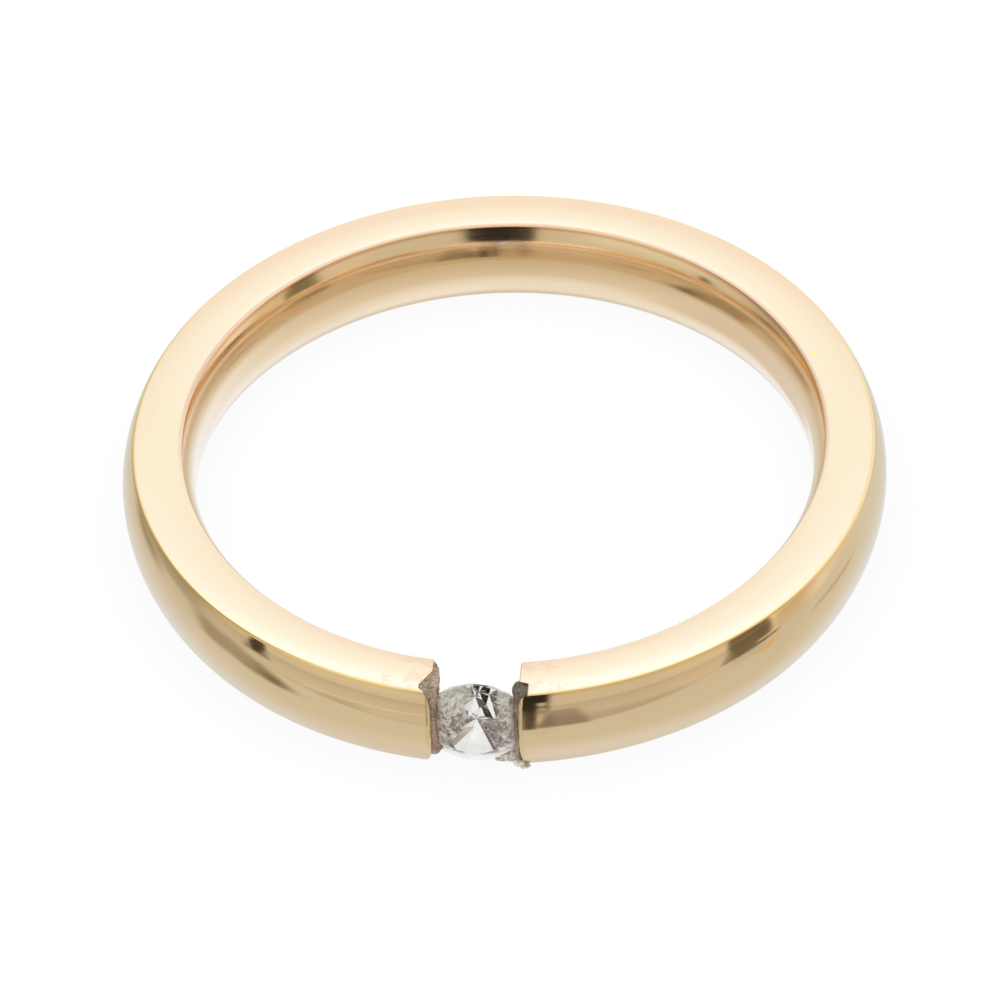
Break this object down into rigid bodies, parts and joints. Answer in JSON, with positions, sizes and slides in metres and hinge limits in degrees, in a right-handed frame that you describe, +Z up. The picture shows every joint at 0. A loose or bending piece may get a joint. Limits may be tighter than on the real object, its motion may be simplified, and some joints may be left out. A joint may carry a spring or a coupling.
{
  "type": "tension set ring",
  "caption": "Plain polished gold finger ring with a softly domed band, open at the front, whose two ends grip a small round brilliant cut stone by its edge.",
  "frame": {"origin": "on the axis of the finger hole, in the plane that the ring rests on when it lies on its side", "axes": "+Z up along the finger hole's axis, the gap with its stone faces -Y, +X to the right of someone who looks at the stone"},
  "size_m": [0.0208, 0.0208, 0.0027],
  "materials": {
    "gold": "polished yellow gold with fine scratches, slightly tarnished near the stone",
    "stone": "clear, colourless, cut and polished in flat facets"
  },
  "bodies": {
    "root": {"band": "gold", "stone": "stone"}
  },
  "joints": []
}
